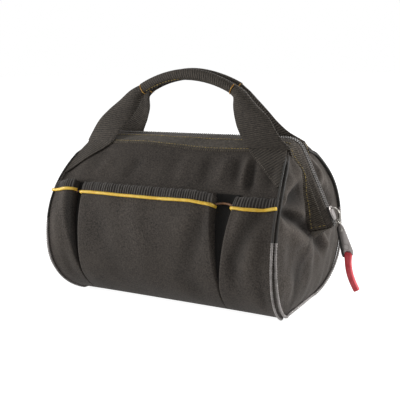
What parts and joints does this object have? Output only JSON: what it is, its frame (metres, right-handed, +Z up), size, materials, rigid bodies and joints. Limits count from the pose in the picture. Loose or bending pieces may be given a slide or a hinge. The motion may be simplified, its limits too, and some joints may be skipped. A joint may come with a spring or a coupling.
{
  "type": "tool bag",
  "caption": "Soft-sided zippered tool bag with a stiff-framed mouth, webbing carry handles, pleated outside pockets and a zipper that runs down both ends.",
  "frame": {"origin": "middle of the base, on the underside that rests on the floor", "axes": "+Z up, +X along the bag towards the end where the zipper closes, -Y towards the front"},
  "size_m": [0.4211, 0.2258, 0.2945],
  "materials": {
    "fabric": "charcoal-brown woven polyester with a slight sheen",
    "webbing": "ribbed charcoal webbing",
    "binding": "dark grey gathered binding tape",
    "yellow_piping": "golden yellow vinyl piping",
    "black_trim": "black vinyl seam piping",
    "grey_trim": "grey ribbed vinyl seam piping",
    "board": "stiff plastic sheet",
    "zip_tape": "black zipper tape",
    "zip_coil": "black nylon coil",
    "steel_wire": "drawn steel wire",
    "nickel": "nickel plated zinc",
    "gunmetal": "gunmetal plated zinc",
    "red_rubber": "moulded red rubber"
  },
  "bodies": {
    "bag_body": {"base_panel": "fabric", "base_board": "board", "front_wall": "fabric", "back_wall": "fabric", "left_end_panel": "fabric", "right_end_panel": "fabric", "front_pocket_left": "fabric", "front_pocket_binding_left": "binding", "front_pocket_piping_left": "yellow_piping", "front_pocket_centre": "fabric", "front_pocket_binding_centre": "binding", "front_pocket_piping_centre": "yellow_piping", "front_pocket_right": "fabric", "front_pocket_binding_right": "binding", "front_pocket_piping_right": "yellow_piping", "back_pocket_left": "fabric", "back_pocket_binding_left": "binding", "back_pocket_piping_left": "yellow_piping", "back_pocket_centre": "fabric", "back_pocket_binding_centre": "binding", "back_pocket_piping_centre": "yellow_piping", "back_pocket_right": "fabric", "back_pocket_binding_right": "binding", "back_pocket_piping_right": "yellow_piping", "left_grey_trim": "grey_trim", "left_zip_end_tab": "webbing", "right_grey_trim": "grey_trim", "right_zip_end_tab": "webbing", "front_upper_panel": "fabric", "left_front_flank": "fabric", "left_front_black_trim": "black_trim", "front_left_strap_end": "webbing", "right_front_flank": "fabric", "right_front_black_trim": "black_trim", "front_right_strap_end": "webbing", "back_upper_panel": "fabric", "left_back_flank": "fabric", "left_back_black_trim": "black_trim", "back_left_strap_end": "webbing", "right_back_flank": "fabric", "right_back_black_trim": "black_trim", "back_right_strap_end": "webbing"},
    "front_mouth": {"front_frame_channel": "webbing", "front_frame_wire": "steel_wire", "front_zip_tape": "zip_tape", "front_zip_coil": "zip_coil"},
    "back_mouth": {"back_frame_channel": "webbing", "back_frame_wire": "steel_wire", "back_zip_tape": "zip_tape", "back_zip_coil": "zip_coil"},
    "front_handle": {"front_handle_grip": "webbing", "front_left_strap": "webbing", "front_right_strap": "webbing"},
    "back_handle": {"back_handle_grip": "webbing", "back_left_strap": "webbing", "back_right_strap": "webbing"},
    "slider": {"zip_slider": "nickel"},
    "link": {"pull_link": "nickel"},
    "tab": {"pull_tab": "gunmetal"},
    "tail": {"pull_tail": "red_rubber"}
  },
  "joints": [
    {"name": "front_mouth_hinge", "type": "hinge", "parent": "bag_body", "child": "front_mouth", "pos_m": [0, 0, 0.104], "axis": [1, 0, 0], "range_deg": [0, 35], "deforming": ["front_upper_panel", "left_front_flank", "left_front_black_trim", "front_left_strap_end", "right_front_flank", "right_front_black_trim", "front_right_strap_end"]},
    {"name": "back_mouth_hinge", "type": "hinge", "parent": "bag_body", "child": "back_mouth", "pos_m": [0, 0, 0.104], "axis": [-1, 0, 0], "range_deg": [0, 35], "deforming": ["back_upper_panel", "left_back_flank", "left_back_black_trim", "back_left_strap_end", "right_back_flank", "right_back_black_trim", "back_right_strap_end"]},
    {"name": "front_handle_hinge", "type": "hinge", "parent": "front_mouth", "child": "front_handle", "pos_m": [0, -0.0373, 0.2025], "axis": [-1, 0, 0], "range_deg": [-135, 0]},
    {"name": "back_handle_hinge", "type": "hinge", "parent": "back_mouth", "child": "back_handle", "pos_m": [0, 0.0373, 0.2025], "axis": [1, 0, 0], "range_deg": [-135, 0]},
    {"name": "zipper_slide", "type": "slide", "parent": "front_mouth", "child": "slider", "axis": [-0.4041, 0, 0.9147], "range_m": [0, 0.033]},
    {"name": "pull_link_hinge", "type": "hinge", "parent": "slider", "child": "link", "pos_m": [0.19422, 0, 0.12149], "axis": [0, -1, 0], "range_deg": [0, 90]},
    {"name": "pull_tab_hinge", "type": "hinge", "parent": "link", "child": "tab", "pos_m": [0.20495, -0.0056, 0.10606], "axis": [0, -1, 0], "range_deg": [0, 60]},
    {"name": "pull_tail_hinge", "type": "hinge", "parent": "tab", "child": "tail", "pos_m": [0.21343, -0.0056, 0.07843], "axis": [0.9537, 0, 0.3009], "range_deg": [-25, 25]}
  ]
}
